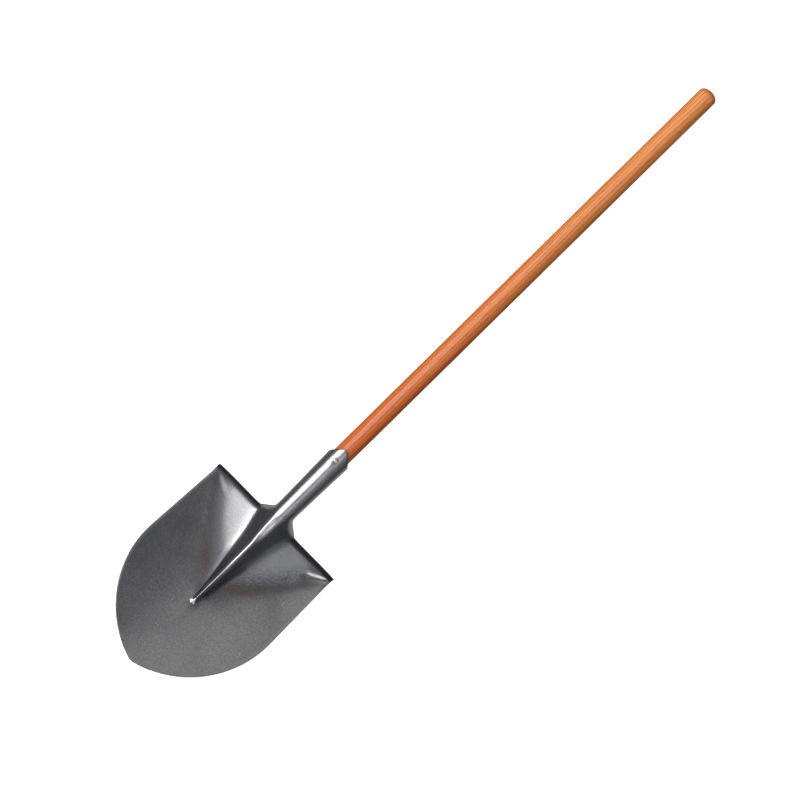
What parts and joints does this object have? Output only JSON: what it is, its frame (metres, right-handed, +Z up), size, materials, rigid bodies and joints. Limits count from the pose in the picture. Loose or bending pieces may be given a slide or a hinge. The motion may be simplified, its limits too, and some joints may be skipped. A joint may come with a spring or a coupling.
{
  "type": "round point shovel",
  "caption": "Long-handled round point shovel: dished steel blade with a central ridge, rolled-back treads and rolled socket, on a varnished round wooden handle.",
  "frame": {"origin": "middle of the bottom of the bounding box; the shovel lies face up on the two tread corners and the butt of the handle", "axes": "+Y along the handle towards the butt, +X across the blade, +Z up out of the blade's hollow face"},
  "size_m": [0.2396, 1.1484, 0.0923],
  "materials": {
    "pressed_steel": "dark satin steel, oiled, with fine grain, brighter on the socket and the ridge",
    "varnished_wood": "straight-grained wood under glossy orange-red varnish",
    "screw_brass": "yellow-plated, slightly dull"
  },
  "bodies": {
    "root": {"blade_head": "pressed_steel", "handle": "varnished_wood", "fixing_screw": "screw_brass"}
  },
  "joints": []
}
